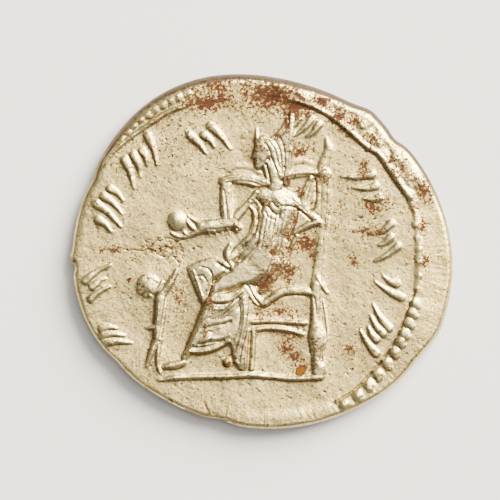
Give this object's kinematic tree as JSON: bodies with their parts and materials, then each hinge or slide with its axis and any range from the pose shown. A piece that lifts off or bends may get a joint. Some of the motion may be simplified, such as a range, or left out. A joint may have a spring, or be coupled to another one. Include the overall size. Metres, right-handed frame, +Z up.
{
  "type": "silver antoninianus coin",
  "caption": "Worn struck silver coin lying reverse up, with a seated draped goddess holding a globe, a small winged child, a bead border and a draped bust underneath.",
  "frame": {"origin": "under the middle of the coin's box, on the surface it lies on", "axes": "+Z up out of the reverse, +Y towards the top of the reverse design, +X to its right"},
  "size_m": [0.023, 0.0214, 0.0016],
  "materials": {
    "silver": "struck and worn debased silver, satin, with warm brown toning in the hollows and rust-brown earth deposits"
  },
  "bodies": {
    "root": {"coin": "silver"}
  },
  "joints": []
}
